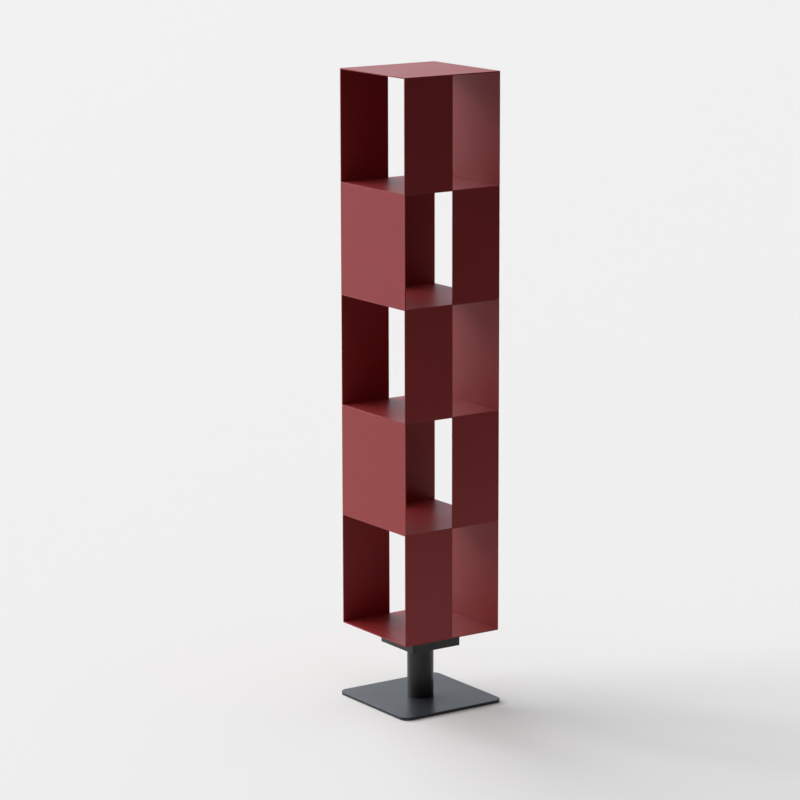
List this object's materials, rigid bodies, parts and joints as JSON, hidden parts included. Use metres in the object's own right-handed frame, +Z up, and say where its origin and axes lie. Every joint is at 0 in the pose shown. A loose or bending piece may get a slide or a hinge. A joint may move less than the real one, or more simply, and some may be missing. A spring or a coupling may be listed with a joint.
{
  "type": "rotating shelf",
  "caption": "Tall square shelf tower of sheet steel with staggered open compartments, turning on a short round post and a flat square base plate.",
  "frame": {"origin": "on the floor, on the axis of the post and in the middle of the base plate", "axes": "+Z up along the axis that the tower turns about; at rest the lowest, middle and highest compartments are open towards -X"},
  "size_m": [0.342, 0.342, 1.814],
  "materials": {
    "red_powder_coat": "satin powder coat",
    "black_powder_coat": "satin powder coat",
    "turned_steel": "turned and ground",
    "bearing_polymer": "plain moulded",
    "mat_rubber": "matt"
  },
  "bodies": {
    "stand": {"floor_mat": "mat_rubber", "base_plate": "black_powder_coat", "foot_screw_1": "turned_steel", "foot_screw_2": "turned_steel", "foot_screw_3": "turned_steel", "foot_screw_4": "turned_steel", "post_foot": "turned_steel", "post_tube": "black_powder_coat", "post_head": "turned_steel", "grub_screw_1": "turned_steel", "grub_screw_2": "turned_steel", "grub_screw_3": "turned_steel", "lower_bush": "bearing_polymer", "upper_bush": "bearing_polymer", "lower_race": "turned_steel"},
    "tower": {"upper_race": "turned_steel", "spindle": "turned_steel", "spindle_washer": "turned_steel", "spindle_nut": "turned_steel", "spindle_flange": "turned_steel", "swivel_cover": "black_powder_coat", "flange_stud_1": "turned_steel", "flange_stud_2": "turned_steel", "flange_stud_3": "turned_steel", "flange_stud_4": "turned_steel", "flange_nut_1": "turned_steel", "flange_nut_2": "turned_steel", "flange_nut_3": "turned_steel", "flange_nut_4": "turned_steel", "bottom_plate": "red_powder_coat", "shelf_plate_1": "red_powder_coat", "shelf_plate_2": "red_powder_coat", "shelf_plate_3": "red_powder_coat", "shelf_plate_4": "red_powder_coat", "top_plate": "red_powder_coat", "full_panel_1": "red_powder_coat", "full_panel_2": "red_powder_coat", "full_panel_3": "red_powder_coat", "full_panel_4": "red_powder_coat", "full_panel_5": "red_powder_coat", "half_panel_1a": "red_powder_coat", "half_panel_1b": "red_powder_coat", "half_panel_2a": "red_powder_coat", "half_panel_2b": "red_powder_coat", "half_panel_3a": "red_powder_coat", "half_panel_3b": "red_powder_coat", "half_panel_4a": "red_powder_coat", "half_panel_4b": "red_powder_coat", "half_panel_5a": "red_powder_coat", "half_panel_5b": "red_powder_coat"},
    "ball_cage": {"ball_cage": "turned_steel"}
  },
  "joints": [
    {"name": "tower_turn", "type": "hinge", "parent": "stand", "child": "tower", "pos_m": [0, 0, 0.214], "axis": [0, 0, 1], "continuous": true},
    {"name": "cage_turn", "type": "hinge", "parent": "stand", "child": "ball_cage", "pos_m": [0, 0, 0.1929], "axis": [0, 0, 1], "continuous": true}
  ],
  "couplings": [
    {"joint": "cage_turn", "follows": "tower_turn", "ratio": 0.5}
  ]
}
